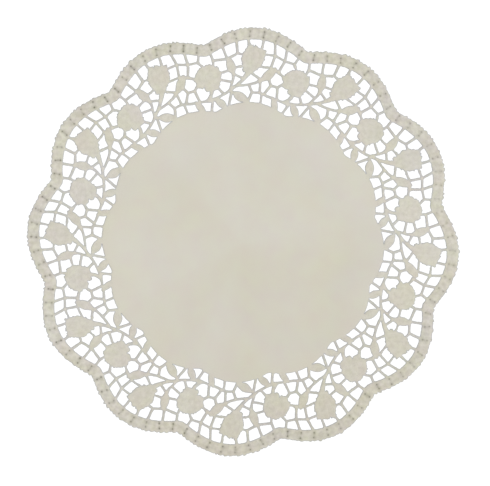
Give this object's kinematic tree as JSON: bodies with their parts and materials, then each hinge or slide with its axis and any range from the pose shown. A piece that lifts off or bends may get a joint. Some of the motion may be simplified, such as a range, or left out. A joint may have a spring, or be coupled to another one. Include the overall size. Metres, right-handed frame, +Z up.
{
  "type": "round lace doily",
  "caption": "Round flat paper doily: a plain middle, a pierced border of roses, leaves and thin bars, and a scalloped rim.",
  "frame": {"origin": "the middle of the doily, on the surface that it lies on", "axes": "+Z is up, out of the embossed face; the crest of a scallop lies on +X"},
  "size_m": [0.36, 0.36, 0.001],
  "materials": {
    "paper": "matte"
  },
  "bodies": {
    "root": {"doily": "paper"}
  },
  "joints": []
}
